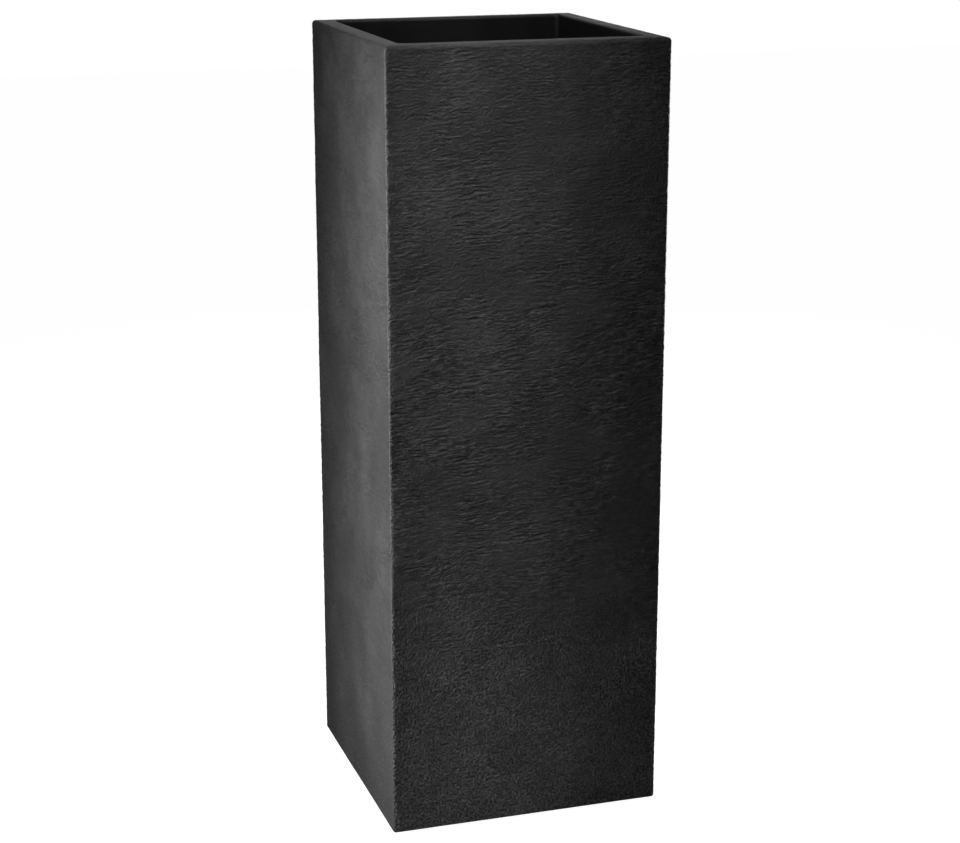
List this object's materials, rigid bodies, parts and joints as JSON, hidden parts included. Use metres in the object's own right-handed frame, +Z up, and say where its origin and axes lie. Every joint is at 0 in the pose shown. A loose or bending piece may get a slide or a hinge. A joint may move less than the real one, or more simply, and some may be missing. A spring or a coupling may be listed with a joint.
{
  "type": "column planter",
  "caption": "Tall square column planter, open at the top, with slate-textured walls, a lift-out planting shelf, a drain plug and rubber feet.",
  "frame": {"origin": "on the ground under the planter's centre", "axes": "+Z up, the front face looks along -Y, +X to the right seen from the front"},
  "size_m": [0.256, 0.256, 0.711],
  "materials": {
    "slate_resin": "matte",
    "shelf_plastic": "satin",
    "black_rubber": "matte"
  },
  "bodies": {
    "planter": {"column_shell": "slate_resin", "foot_pad_front_left": "black_rubber", "foot_pad_front_right": "black_rubber", "foot_pad_back_left": "black_rubber", "foot_pad_back_right": "black_rubber"},
    "shelf": {"planting_shelf": "shelf_plastic"},
    "plug": {"drain_plug": "black_rubber"}
  },
  "joints": [
    {"name": "shelf_lift", "type": "slide", "parent": "planter", "child": "shelf", "axis": [0, 0, 1], "range_m": [0, 0.36]},
    {"name": "drain_plug_pull", "type": "slide", "parent": "planter", "child": "plug", "axis": [0, 0, -1], "range_m": [0, 0.03]}
  ]
}
